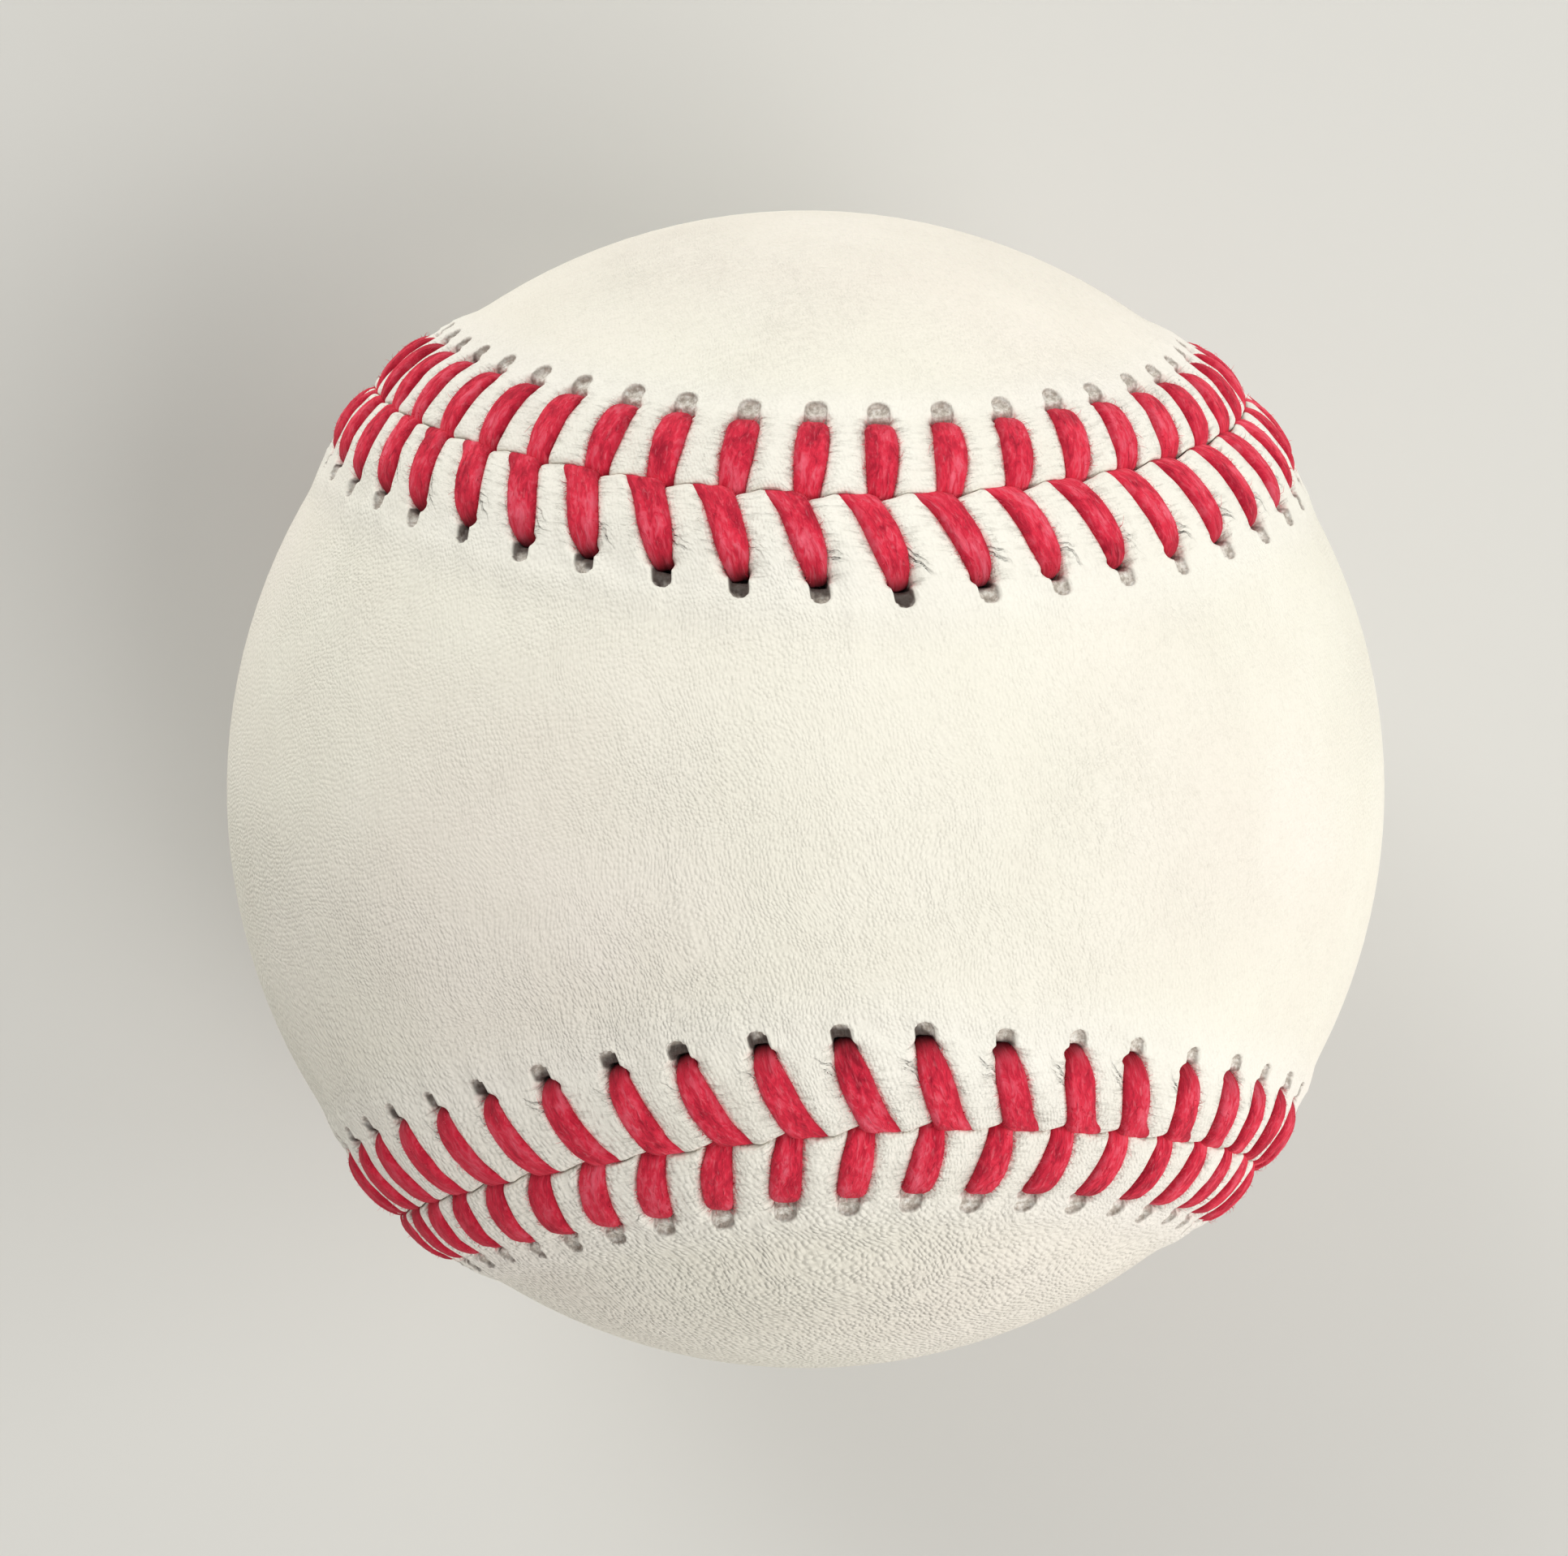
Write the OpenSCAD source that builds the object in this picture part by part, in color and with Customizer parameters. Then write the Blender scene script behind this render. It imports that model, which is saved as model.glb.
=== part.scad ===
// Hand-stitched baseball: a cushioned cork centre, four windings of yarn and
// thread, and two interlocking figure-eight cowhide panels drawn together with
// red waxed thread. Origin at the ball's centre, +Z out through the middle of
// the upper panel's neck, +X along that neck. Millimetres and degrees.

/* [Cushioned centre] */
// Diameter of the moulded cork and rubber sphere
cork_d = 20.6; // [18:0.1:23]
// Wall of the two black rubber shells
black_rubber_wall = 4; // [3:0.1:5]
// Height of the tongue on the lower black shell, above the parting plane
tongue_h = 1.6; // [1:0.1:2.4]
// Thickness of the tongue
tongue_wall = 2; // [1.2:0.1:2.6]
// Thickness of the red gasket between the black shells
gasket_t = 0.8; // [0.4:0.1:1.4]
// Wall of the red rubber shell
red_rubber_wall = 2.4; // [1.6:0.1:3.2]

/* [Windings] */
// Thickness of the first winding, four-ply grey wool yarn
first_winding_wall = 14.4; // [12:0.1:16]
// Thickness of the second winding, three-ply white wool yarn
second_winding_wall = 1.8; // [1.2:0.1:2.4]
// Thickness of the third winding, three-ply grey wool yarn
third_winding_wall = 2.2; // [1.6:0.1:3]
// Thickness of the finishing winding, fine white cotton thread
finishing_winding_wall = 0.5; // [0.3:0.1:0.9]

/* [Cover] */
// Thickness of the cowhide
leather_t = 1.3; // [1.1:0.05:1.6]
// Height of the welt that the stitching raises along the seam
welt_h = 0.9; // [0.5:0.05:1.2]
// Gap between the edges of the two panels
seam_gap = 0.2; // [0.1:0.05:0.3]
// Angle at the ball's centre from the middle of a neck to its seam
neck_half_angle = 25.2; // [23:0.1:27]
// How far the seam swings sideways round each lobe, as an angle
lobe_swing_angle = 19.5; // [17:0.1:22]
// How much the seam flares where a neck meets its lobes, as an angle
flare_angle = 1.9; // [0:0.1:3]

/* [Stitching] */
// Double stitches round the whole seam
stitch_count = 108; // [100:4:112]
// Width of one laid-down leg of thread
thread_w = 1.5; // [1.1:0.05:1.7]
// Thickness of one laid-down leg of thread
thread_t = 0.75; // [0.5:0.05:0.9]
// Height of a leg's crown above the plain leather
crown_h = 1.05; // [0.9:0.05:1.3]
// Distance from the seam line to the far end of an awl hole
hole_reach = 5.85; // [5.3:0.05:6.4]
// Length of an awl hole, along its leg
hole_l = 1.7; // [1.4:0.05:2]
// Distance from the far end of an awl hole back to the end of its leg
hole_open_l = 0.9; // [0.6:0.05:1.1]
// How far a leg leans along the seam, on average
lean = -1.18; // [-1.6:0.01:-0.6]

/* [Hidden] */

// Clearance from one round layer to the next
layer_gap = 0.05;
// Clearance under the faceted inside of the cover
cover_gap = 0.1;
// Clearance round a leg of thread, and round the tongue
fit = 0.05;
// Depth by which the stitched border tucks into the plain middle of a panel
tuck = 0.04;
// Width of plain border past the awl holes, on each side of where the two meet
border_l = 1;

// Sideways lean of a leg: how it changes from neck to lobe, along the seam
lean_neck = -0.58;
lean_along = -1.22;
lean_twice = 0.28;
// The same for the distance of the holes from the seam
reach_along = -0.33;
reach_twice = -0.16;
// Lead of a leg's foot over its station, on the side of a neck
foot_lead = 0.46;
// Where the first station lies, and how far hand sewing drifts, in pitches
station_share = 0.42;
drift_share = 0.26;
// Rows of the border from the seam to a hole, as shares of the leg's length
crest_share = 0.24;
middle_share = 0.52;
// Height of the leather between two legs on each row, as shares of the welt
pillow_shares = [0.35, 1, 0.88, 0.5, 0.14];

// Radii, from the middle out
cork_r = cork_d / 2;
black_r = cork_r + layer_gap + black_rubber_wall;
tongue_r = cork_r + layer_gap + tongue_wall;
red_r = black_r + layer_gap + red_rubber_wall;
first_r = red_r + layer_gap + first_winding_wall;
second_r = first_r + layer_gap + second_winding_wall;
third_r = second_r + layer_gap + third_winding_wall;
finishing_r = third_r + layer_gap + finishing_winding_wall;
hide_r = finishing_r + cover_gap;
ball_r = hide_r + leather_t;

// The seam
seam_steps = 720;
seam_table = [for (k = 0, s = 0; k <= seam_steps;
                   s = s + norm(seam_dir(2 * (k + 1) * 360 / seam_steps)
                                - seam_dir(2 * k * 360 / seam_steps)), k = k + 1)
              [s * ball_r, 2 * k * 360 / seam_steps]];
seam_l = seam_table[seam_steps][0];
pitch = seam_l / stitch_count;

function unit(v) = v / norm(v);
function wrap(s) = s - seam_l * floor(s / seam_l);

// Direction from the ball's centre to the seam, at a turn from 0 to 720
function seam_dir(turn) =
    let (polar = 90 - (90 - neck_half_angle + flare_angle) * cos(turn) + flare_angle * cos(3 * turn),
         azimuth = turn / 2 + lobe_swing_angle * sin(2 * turn) - 90)
    [sin(polar) * cos(azimuth), sin(polar) * sin(azimuth), cos(polar)];

// Turn at a distance s along the seam
function seam_turn(s) = lookup(wrap(s), seam_table);

// Direction at a distance s along the seam and v across it, into the panel
// on that side: 1 is the upper panel, -1 the lower one
function seam_point(s, v, side) =
    let (turn = seam_turn(s),
         here = seam_dir(turn),
         along = unit(seam_dir(turn + 1) - seam_dir(turn - 1)),
         across = side * unit(cross(here, along)),
         angle = v / ball_r * 180 / PI)
    cos(angle) * here + sin(angle) * across;

// A leg runs along a great circle from its foot on the seam to its hole:
// [foot direction, direction it sets off in, length, distance along the seam, slope]
function leg_line(i, side) =
    let (turn = seam_turn(pitch * i) + (side > 0 ? 0 : 180),
         station = pitch * (i + station_share + drift_share * cos(seam_turn(pitch * i) / 2)),
         foot_s = station + foot_lead * cos(turn),
         shift = lean + lean_neck * cos(turn) + lean_along * sin(turn) + lean_twice * sin(2 * turn),
         reach = hole_reach + reach_along * sin(turn) + reach_twice * sin(2 * turn),
         foot = seam_point(foot_s, 0, side),
         hole = seam_point(foot_s + shift, reach, side),
         cosine = foot * hole)
    [foot, unit(hole - cosine * foot), ball_r * acos(cosine) * PI / 180, foot_s, shift / reach];

// Direction at a distance l along a leg
function on_leg(line, l) =
    let (angle = l / ball_r * 180 / PI)
    cos(angle) * line[0] + sin(angle) * line[1];

// The arch of a leg, in the plane of its great circle:
// [angle of its middle, distance of its centre of curvature, radius, half of its sweep]
function leg_arch(line) =
    let (sine = abs(line[4]) / sqrt(1 + line[4] * line[4]),
         foot_l = (thread_t + thread_w * sine) / 2 + fit,
         end_l = line[2] - hole_open_l,
         half_angle = (end_l - foot_l) / 2 / ball_r * 180 / PI,
         crown_r = ball_r + crown_h - thread_t / 2,
         end_r = ball_r - leather_t / 2 + fit + thread_t / 2,
         centre = (crown_r * crown_r - end_r * end_r) / 2 / (crown_r - end_r * cos(half_angle)))
    [(end_l + foot_l) / 2, centre, crown_r - centre,
     atan2(end_r * sin(half_angle), end_r * cos(half_angle) - centre)];

// Radius of the groove's floor under a leg, at a distance l along it
function groove_r(arch, l) =
    let (angle = (l - arch[0]) / ball_r * 180 / PI,
         under = arch[2] - thread_t / 2 - fit,
         away = min(arch[1] * abs(sin(angle)), under))
    max(arch[1] * cos(angle) + sqrt(under * under - away * away), ball_r - leather_t / 2);

lines = [for (side = [1, -1]) [for (i = [0 : stitch_count - 1]) leg_line(i, side)]];
arches = [for (side = [0, 1]) [for (line = lines[side]) leg_arch(line)]];

// Distances along a leg of the border's rows: seam, crest, middle, near and
// far end of the hole, and the two rows that tuck into the plain middle
function row_l(line, row) =
    row == 1 ? crest_share * line[2]
    : row == 2 ? middle_share * line[2]
    : row == 3 ? line[2] - hole_l
    : line[2] + (row - 4) * border_l;

// The two edges of a leg's groove on one row, as directions
function groove_edge(line, row, edge, side) =
    let (half_w = edge * (thread_w / 2 + fit))
    row == 0 ? seam_point(line[3] + half_w * sqrt(1 + line[4] * line[4]), seam_gap / 2, side)
    : let (here = on_leg(line, row_l(line, row)),
           lateral = side * unit(cross(line[1], line[0])))
      unit(here + half_w / ball_r * lateral);

// Four points of a row for each stitch: the groove's two edges, then two
// points across the pillow of leather before the next groove
function outer_row(lines, arches, row, side) =
    [for (i = [0 : stitch_count - 1])
        let (line = lines[i],
             next = lines[(i + 1) % stitch_count],
             left = groove_edge(line, row, -1, side),
             right = groove_edge(line, row, 1, side),
             after = groove_edge(next, row, -1, side),
             floor_r = row == 4 ? ball_r : groove_r(arches[i], row_l(line, row == 0 ? 4 : row)),
             low_r = row == 0 ? ball_r - leather_t / 2 : floor_r,
             high_r = ball_r + welt_h * pillow_shares[row])
        each [low_r * left, low_r * right,
              high_r * unit(2 * right + after), high_r * unit(right + 2 * after)]];

// Two points of a row for each stitch, at one radius
function plain_row(lines, row, side, r) =
    [for (line = lines)
        each [r * groove_edge(line, row, -1, side), r * groove_edge(line, row, 1, side)]];

// Triangles between two rows of n points each, leaving out the awl holes
// where every second, or every fourth, gap is one
function strip(a, b, n, hole_step) =
    [for (j = [0 : n - 1]) if (hole_step == 0 || j % hole_step != 0)
        let (k = (j + 1) % n)
        each [[a + j, b + j, b + k], [a + j, b + k, a + k]]];

// Triangles from a row with four points a stitch to a row with two
function strip_four_to_two(a, b) =
    [for (i = [0 : stitch_count - 1])
        let (p = a + 4 * i,
             q = b + 2 * i,
             p4 = a + (4 * i + 4) % (4 * stitch_count),
             q2 = b + (2 * i + 2) % (2 * stitch_count))
        each [[p, q, q + 1], [p, q + 1, p + 1], [p + 1, q + 1, p + 2],
              [p + 2, q + 1, p + 3], [p + 3, q + 1, q2], [p + 3, q2, p4]]];

// The four walls of each awl hole, from the outside down to the inside
function hole_walls(near, far, near_in, far_in) =
    [for (i = [0 : stitch_count - 1])
        let (a = near + 4 * i, b = far + 4 * i, c = near_in + 2 * i, d = far_in + 2 * i)
        each [[a, a + 1, c + 1], [a, c + 1, c], [a + 1, b + 1, d + 1], [a + 1, d + 1, c + 1],
              [b + 1, b, d], [b + 1, d, d + 1], [b, a, c], [b, c, d]]];

function flip(faces) = [for (f = faces) [f[0], f[2], f[1]]];

// The stitched border of a panel: a closed ring of leather along the whole
// seam, grooved under each leg, puffed up between legs and pierced by the awl
module stitched_border(side) {
    own = side > 0 ? 0 : 1;
    n4 = 4 * stitch_count;
    n2 = 2 * stitch_count;
    inside_r = hide_r + tuck;
    points = concat(
        [for (row = [0 : 4]) each outer_row(lines[own], arches[own], row, side)],
        [for (row = [5, 6]) each plain_row(lines[own], row, side, ball_r - tuck)],
        [for (row = [6, 4, 3, 0]) each plain_row(lines[own], row, side, inside_r)]);
    outer = [for (row = [0 : 4]) row * n4];
    plain = [for (row = [0 : 5]) 5 * n4 + row * n2];
    faces = concat(
        strip(outer[0], outer[1], n4, 0),
        strip(outer[1], outer[2], n4, 0),
        strip(outer[2], outer[3], n4, 0),
        strip(outer[3], outer[4], n4, 4),
        strip_four_to_two(outer[4], plain[0]),
        strip(plain[0], plain[1], n2, 0),
        strip(plain[1], plain[2], n2, 0),
        strip(plain[2], plain[3], n2, 0),
        strip(plain[3], plain[4], n2, 2),
        strip(plain[4], plain[5], n2, 0),
        flip(strip_four_to_two(outer[0], plain[5])),
        flip(hole_walls(outer[3], outer[4], plain[4], plain[3])));
    polyhedron(points, side > 0 ? faces : flip(faces), convexity = 10);
}

// A cone from the ball's centre through the middle of a panel, inside its
// border; its far cap is a ladder of rungs from one long side to the other
module middle_cone(side) {
    own = side > 0 ? 0 : 1;
    tip = (side > 0 ? 1 : 0) * stitch_count / 4;
    far_r = 2 * ball_r;
    points = concat([[0, 0, 0]],
        [for (line = lines[own]) far_r * on_leg(line, line[2] + 1.4 * border_l)]);
    sides = [for (i = [0 : stitch_count - 1]) [0, 1 + (i + 1) % stitch_count, 1 + i]];
    cap = [for (k = [0 : stitch_count / 2 - 2])
        let (a = 1 + (tip - 1 - k + stitch_count) % stitch_count,
             b = 1 + (tip - 2 - k + stitch_count) % stitch_count,
             c = 1 + (tip + k + 1) % stitch_count,
             d = 1 + (tip + k) % stitch_count)
        each [[a, c, b], [a, d, c]]];
    faces = concat(sides, cap);
    polyhedron(points, side > 0 ? flip(faces) : faces, convexity = 10);
}

// A round layer between two radii
module layer(inner_r, outer_r) {
    difference() {
        sphere(r = outer_r, $fn = 160);
        sphere(r = inner_r, $fn = 160);
    }
}

module cover_panel(side) {
    union() {
        stitched_border(side);
        intersection() {
            layer(hide_r, ball_r);
            middle_cone(side);
        }
    }
}

// Section of a laid-down leg: flat, with round edges
module thread_section() {
    square([thread_t, thread_w - thread_t], center = true);
    for (end = [-1, 1]) {
        translate([0, end * (thread_w - thread_t) / 2]) circle(d = thread_t, $fn = 32);
    }
}

// One leg, arched from its foot between the panels over to its awl hole
module leg(line, arch) {
    up = on_leg(line, arch[0]);
    ahead = unit(cross(cross(line[0], line[1]), up));
    axis = cross(up, ahead);
    multmatrix([[up[0], ahead[0], axis[0], arch[1] * up[0]],
                [up[1], ahead[1], axis[1], arch[1] * up[1]],
                [up[2], ahead[2], axis[2], arch[1] * up[2]],
                [0, 0, 0, 1]])
        rotate([0, 0, -arch[3]])
            rotate_extrude(angle = 2 * arch[3], $fn = 64)
                translate([arch[2], 0]) thread_section();
}

// The legs that one needle lays: it changes sides at every station
module needle_thread(first_side) {
    for (i = [0 : stitch_count - 1]) {
        own = (i + first_side) % 2;
        leg(lines[own][i], arches[own][i]);
    }
}

// Half section of the black rubber, before it is parted
module black_section() {
    intersection() {
        difference() {
            circle(r = black_r, $fn = 96);
            circle(r = cork_r + layer_gap, $fn = 96);
        }
        translate([0, -black_r]) square([black_r, 2 * black_r]);
    }
}

module cork_centre() {
    color("#b5885a") sphere(d = cork_d, $fn = 96);
}

module lower_black_shell() {
    color("#262423") rotate_extrude($fn = 96) {
        intersection() {
            black_section();
            union() {
                translate([0, -black_r]) square([black_r, black_r - gasket_t / 2]);
                translate([0, -gasket_t]) square([tongue_r, gasket_t + tongue_h]);
            }
        }
    }
}

module upper_black_shell() {
    color("#302d2b") rotate_extrude($fn = 96) {
        difference() {
            black_section();
            translate([0, -black_r]) square([black_r, black_r + gasket_t / 2]);
            square([tongue_r + fit, tongue_h + fit]);
        }
    }
}

module gasket_ring() {
    color("#b23a2e") rotate_extrude($fn = 96) {
        intersection() {
            black_section();
            translate([tongue_r + fit, -gasket_t / 2]) square([black_r - tongue_r - fit, gasket_t]);
        }
    }
}

module red_rubber_shell() {
    color("#a8332a") layer(black_r + layer_gap, red_r);
}

module first_winding() {
    color("#8d8a84") layer(red_r + layer_gap, first_r);
}

module second_winding() {
    color("#e6e0d2") layer(first_r + layer_gap, second_r);
}

module third_winding() {
    color("#9a968e") layer(second_r + layer_gap, third_r);
}

module finishing_winding() {
    color("#f0ece0") layer(third_r + layer_gap, finishing_r);
}

module upper_cover_panel() {
    color("#f4f1e6") cover_panel(1);
}

module lower_cover_panel() {
    color("#efece0") cover_panel(-1);
}

module first_needle_thread() {
    color("#cf2140") needle_thread(0);
}

module second_needle_thread() {
    color("#b81c38") needle_thread(1);
}

cork_centre();
lower_black_shell();
upper_black_shell();
gasket_ring();
red_rubber_shell();
first_winding();
second_winding();
third_winding();
finishing_winding();
upper_cover_panel();
lower_cover_panel();
first_needle_thread();
second_needle_thread();
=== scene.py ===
"""Looks of the hand-stitched baseball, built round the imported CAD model.

The seam is one closed curve on the ball, given by a turn T from 0 to 4 pi: the
angle from +Z swings between the two necks as a cosine of T with a small third
harmonic, and the azimuth grows as half of T with a sideways swing as sine 2T.
The stations of the stitches lie at equal steps along it, with the slow drift
of hand sewing, and each leg is a little off its place. A point of the cover is
given by a station coordinate u, which is whole on a leg of thread, and by its
distance v from the seam. Its height over the plain ball is a rounded pillow
between two legs, a groove under each leg and an awl hole, a capsule-shaped
pit, at the leg's far end. A leg is a flat tube along a half superellipse that
stands on the leather; at the seam a neck-side leg is drawn out along it into a
beak. Its fuzz is short curved hairs. All of it is worked out in millimetres.
"""
import math
from collections import namedtuple

import bpy
import numpy as np
from mathutils import Matrix


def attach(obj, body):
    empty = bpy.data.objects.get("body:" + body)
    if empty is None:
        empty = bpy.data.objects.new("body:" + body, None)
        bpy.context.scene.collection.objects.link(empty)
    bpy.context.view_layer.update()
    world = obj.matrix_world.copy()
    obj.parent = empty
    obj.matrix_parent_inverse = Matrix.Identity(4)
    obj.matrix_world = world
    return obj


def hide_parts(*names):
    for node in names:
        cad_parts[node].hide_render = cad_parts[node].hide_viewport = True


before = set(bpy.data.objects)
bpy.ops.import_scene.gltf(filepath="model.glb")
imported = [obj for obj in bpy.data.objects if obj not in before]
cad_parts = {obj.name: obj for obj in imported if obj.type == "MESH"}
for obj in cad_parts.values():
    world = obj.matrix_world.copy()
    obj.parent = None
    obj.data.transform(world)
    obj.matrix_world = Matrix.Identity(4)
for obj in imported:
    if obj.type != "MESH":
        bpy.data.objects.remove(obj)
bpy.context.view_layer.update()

MM = 0.001
rng = np.random.default_rng(11)

# Sizes in millimetres; STATION and DRIFT are in stitches
BALL_R = 37.3
HIDE_R = 36.0
STITCHES = 108
NECK = math.radians(25.2)
SWING = math.radians(19.5)
FLARE = math.radians(-1.9)
STATION, DRIFT, FOOT_LEAD = 0.42, 0.26, 0.46
SEAM_GAP, ZIGZAG = 0.03, 0.2
THREAD_W, THREAD_T, CROWN = 1.6, 0.74, 1.12
WELT = 0.9
HOLE_R, HOLE_L, HOLE_OPEN = 0.6, 2.4, 1.35
# how far the leather rounds down at its cut edge and beside a leg, and how far past the
# holes the pillows end and the bare middle of a panel begins
EDGE_ROUND, SHOULDER, PILLOW_END, BARE_FROM = 0.6, 0.66, 2.3, 3.3
# an awl hole's depth, what a hard pull adds to it, and the height and width of its lip
PIT, PIT_PULLED, LIP, LIP_W = 0.32, 0.3, 0.05, 0.2
# a leg's foot along the seam, its lean and reach, its line's bend and its neck-side share
Leg = namedtuple("Leg", "foot shift reach bend neck")


# The seam
def seam_dir(turn):
    """Direction from the ball's centre to the seam at a turn."""
    polar = math.pi / 2 - (math.pi / 2 - NECK - FLARE) * np.cos(turn) - FLARE * np.cos(3 * turn)
    azimuth = turn / 2 + SWING * np.sin(2 * turn) - math.pi / 2
    return np.stack([np.sin(polar) * np.cos(azimuth), np.sin(polar) * np.sin(azimuth), np.cos(polar)], -1)


def unit(v):
    """Vectors made one long."""
    return v / np.linalg.norm(v, axis=-1, keepdims=True)


TURNS = np.linspace(0, 4 * math.pi, 24001)
STEPS = np.linalg.norm(np.diff(seam_dir(TURNS), axis=0), axis=1)
ALONG = np.concatenate([[0], np.cumsum(STEPS)]) * BALL_R
SEAM_L = ALONG[-1]
PITCH = SEAM_L / STITCHES

# how far each leg's foot, lean and reach are off their even values
UNEVEN = {side: rng.uniform(-1, 1, (3, STITCHES + 1)) * [[0.08], [0.14], [0.11]] for side in (1, -1)}
for uneven in UNEVEN.values():
    uneven[:, -1] = uneven[:, 0]


def turn_at(s):
    """The turn at distance s along the seam."""
    return np.interp(np.mod(s, SEAM_L), ALONG, TURNS)


def seam_frame(s):
    """Outward, forward and leftward directions of the seam at s."""
    turn = turn_at(s)
    out = seam_dir(turn)
    ahead = unit(seam_dir(turn + 1e-3) - seam_dir(turn - 1e-3))
    return out, ahead, np.cross(out, ahead)


def on_ball(s, v, side):
    """Direction of the point at s along the seam and v across it, into one panel."""
    out, _, left = seam_frame(s)
    angle = (v / BALL_R)[..., None]
    return np.cos(angle) * out + np.sin(angle) * side * left


def smooth(a, b, x):
    """A smooth step that is 0 at a and 1 at b."""
    t = np.clip((x - a) / (b - a), 0, 1)
    return t * t * (3 - 2 * t)


def leg_facts(u, side):
    """What a leg at station u is like: a little off its even place, as in hand sewing."""
    seam_turn = turn_at(PITCH * u)
    turn = seam_turn + (0 if side > 0 else math.pi)
    off_foot, off_shift, off_reach = (
        np.interp(np.mod(u, STITCHES), np.arange(STITCHES + 1), row) for row in UNEVEN[side])
    foot = PITCH * (u + STATION + DRIFT * np.cos(seam_turn / 2)) + FOOT_LEAD * np.cos(turn) + off_foot
    shift = -1.18 - 0.58 * np.cos(turn) - 1.22 * np.sin(turn) + 0.28 * np.sin(2 * turn) + off_shift
    reach = 5.85 - 0.33 * np.sin(turn) - 0.16 * np.sin(2 * turn) + off_reach
    neck = 0.5 + 0.5 * np.cos(turn)
    return Leg(foot, shift, reach, 1.22 + 0.3 * neck, neck)


def hole_radius(facts):
    """Half the width of an awl hole: those of the far side are pulled wider."""
    return HOLE_R - 0.09 * facts.neck


def leg_s(facts, v):
    """Distance along the seam of the leg's line at v across it."""
    t = v / facts.reach
    part = np.where(t < 0, facts.bend * t, 1 - np.maximum(1 - t, 0) ** facts.bend)
    return facts.foot + facts.shift * part


def leg_axes(u, v, side):
    """Points of the leg's line on the ball, its direction and the direction across it."""
    facts = leg_facts(u, side)
    here = on_ball(leg_s(facts, v), v, side)
    ahead = on_ball(leg_s(facts, v + 0.02), v + 0.02, side)
    behind = on_ball(leg_s(facts, v - 0.02), v - 0.02, side)
    along = unit(ahead - behind)
    return here, along, np.cross(here, along)


# A leg's arch
def arch(facts):
    """Distances across the seam where a leg dives in its hole and at the seam."""
    return facts.reach - HOLE_OPEN - 0.12, 0.12 - 0.34 * facts.neck


def arch_height(v, facts):
    """Height of the leg's middle over the plain ball."""
    far, near = arch(facts)
    x = np.clip((2 * v - far - near) / (far - near), -1, 1)
    low, high = -0.8, CROWN - THREAD_T / 2
    return low + (high - low) * (1 - x * x) ** 0.26


def leg_width(v, facts):
    """Width of a leg: fuller in the middle, drawn in where it enters the hole."""
    far, near = arch(facts)
    x = (v - near) / (far - near)
    full = 0.95 + 0.1 * np.sin(math.pi * np.clip(x, 0, 1))
    root = 0.12 * (1 - facts.neck) * (1 - smooth(0.0, 0.4, x))
    taper = (0.02 + 0.13 * facts.neck) * smooth(0.72, 1.02, x)
    taper = taper + (0.2 - 0.09 * facts.neck) * smooth(0.88, 1.0, x)
    return THREAD_W * (full - root - taper)


# Smooth noise
def lattice_noise(p, scale, seed):
    """Smooth noise from -1 to 1 at points p, with cells of one scale."""
    table = np.random.default_rng(seed).uniform(-1, 1, 4096)
    q = p / scale
    cell = np.floor(q).astype(np.int64)
    f = q - cell
    f = f * f * (3 - 2 * f)
    total = 0
    for corner in range(8):
        step = np.array([corner & 1, corner >> 1 & 1, corner >> 2 & 1])
        c = cell + step
        key = (c[..., 0] * 73856093 ^ c[..., 1] * 19349663 ^ c[..., 2] * 83492791) & 4095
        w = np.prod(np.where(step == 1, f, 1 - f), axis=-1)
        total = total + w * table[key]
    return total


# Mesh making
def add_piece(name, node, points, faces, material, attributes=None):
    """A piece that rides on the body and, where a node is named, replaces it."""
    mesh = bpy.data.meshes.new(name)
    mesh.vertices.add(len(points))
    mesh.vertices.foreach_set("co", (np.asarray(points) * MM).astype(np.float32).ravel())
    loops = np.concatenate([np.asarray(f, dtype=np.int32).ravel() for f in faces])
    sizes = np.concatenate([np.full(len(f), np.asarray(f).shape[1], dtype=np.int32) for f in faces])
    mesh.loops.add(len(loops))
    mesh.loops.foreach_set("vertex_index", loops)
    mesh.polygons.add(len(sizes))
    mesh.polygons.foreach_set("loop_start", np.concatenate([[0], np.cumsum(sizes)[:-1]]).astype(np.int32))
    for key, values in (attributes or {}).items():
        layer = mesh.attributes.new(key, "FLOAT", "POINT")
        layer.data.foreach_set("value", np.asarray(values, dtype=np.float32).ravel())
    mesh.update(calc_edges=True)
    mesh.validate()
    mesh.shade_smooth()
    mesh.materials.append(material)
    piece = bpy.data.objects.new(name, mesh)
    bpy.context.scene.collection.objects.link(piece)
    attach(piece, "root")
    if node:
        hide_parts(node)
    return piece


# The materials. Colours are sRGB codes; sizes in a comment are what a pattern's scale comes from.
def linear(code):
    """The linear colour of an sRGB code."""
    c = np.array([int(code[i:i + 2], 16) / 255 for i in (1, 3, 5)])
    c = np.where(c <= 0.04045, c / 12.92, ((c + 0.055) / 1.055) ** 2.4)
    return (*c.tolist(), 1.0)


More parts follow.
